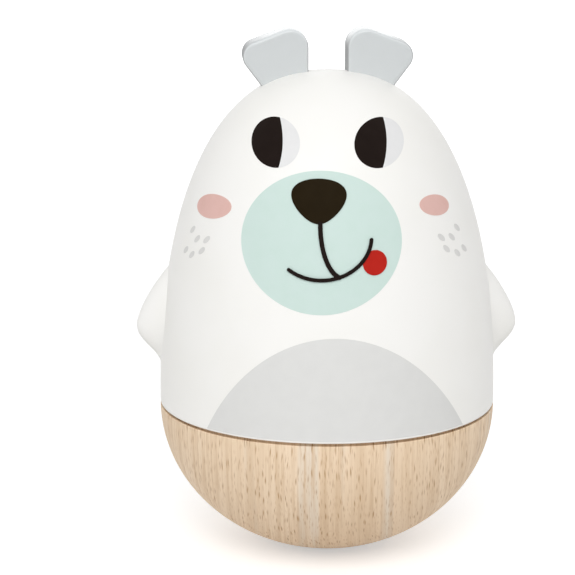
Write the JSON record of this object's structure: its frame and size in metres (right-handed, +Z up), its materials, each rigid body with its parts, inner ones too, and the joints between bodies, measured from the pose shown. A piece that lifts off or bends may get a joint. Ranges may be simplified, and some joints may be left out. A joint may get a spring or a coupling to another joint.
{
  "type": "roly poly toy",
  "caption": "Egg-shaped wooden bear tumbler: a white body on a weighted round beech base that rocks and rights itself, with ears, arms, a printed face and a swinging chime hammer inside.",
  "frame": {"origin": "centre of the small flat under the base, on the surface that the toy stands on", "axes": "+Z up, -Y out of the bear's face, +X to the right as seen from the front, along the line of the ears and arms"},
  "size_m": [0.0818, 0.0721, 0.1113],
  "materials": {
    "beech": "sanded and oiled, grain upright",
    "white_lacquer": "satin white lacquer",
    "ear_grey": "satin grey lacquer",
    "dowel_wood": "plain",
    "plywood": "plain birch plywood",
    "raw_steel": "turned, oiled",
    "bright_steel": "zinc plated",
    "chime_brass": "plain",
    "hammer_plastic": "moulded",
    "print_mint": "printed lacquer film",
    "print_black": "printed lacquer film",
    "print_brown_black": "printed lacquer film",
    "print_red": "printed lacquer film",
    "print_pale_grey": "printed lacquer film",
    "print_pink": "printed lacquer film",
    "print_freckle_grey": "printed lacquer film",
    "print_belly_grey": "printed lacquer film"
  },
  "bodies": {
    "toy": {"base_bowl": "beech", "counterweight": "raw_steel", "weight_washer": "bright_steel", "weight_screw": "bright_steel", "chime_deck": "plywood", "deck_screws": "bright_steel", "chime_bracket": "bright_steel", "bracket_screws": "bright_steel", "pivot_pin": "bright_steel", "pin_clips": "bright_steel", "chime_blocks": "chime_brass", "block_screws": "bright_steel", "chime_rods": "bright_steel", "body_shell": "white_lacquer", "ear_left": "ear_grey", "ear_right": "ear_grey", "ear_dowels": "dowel_wood", "arm_left": "white_lacquer", "arm_right": "white_lacquer", "arm_dowels": "dowel_wood", "muzzle_print": "print_mint", "nose_print": "print_brown_black", "mouth_print": "print_black", "tongue_print": "print_red", "eye_dark_prints": "print_black", "eye_light_prints": "print_pale_grey", "cheek_prints": "print_pink", "freckle_prints": "print_freckle_grey", "belly_print": "print_belly_grey"},
    "hammer": {"hammer_arm": "hammer_plastic", "hammer_ball": "chime_brass"}
  },
  "joints": [
    {"name": "hammer_swing", "type": "hinge", "parent": "toy", "child": "hammer", "pos_m": [0, 0, 0.0718], "axis": [0, 1, 0], "range_deg": [-15, 15]}
  ]
}
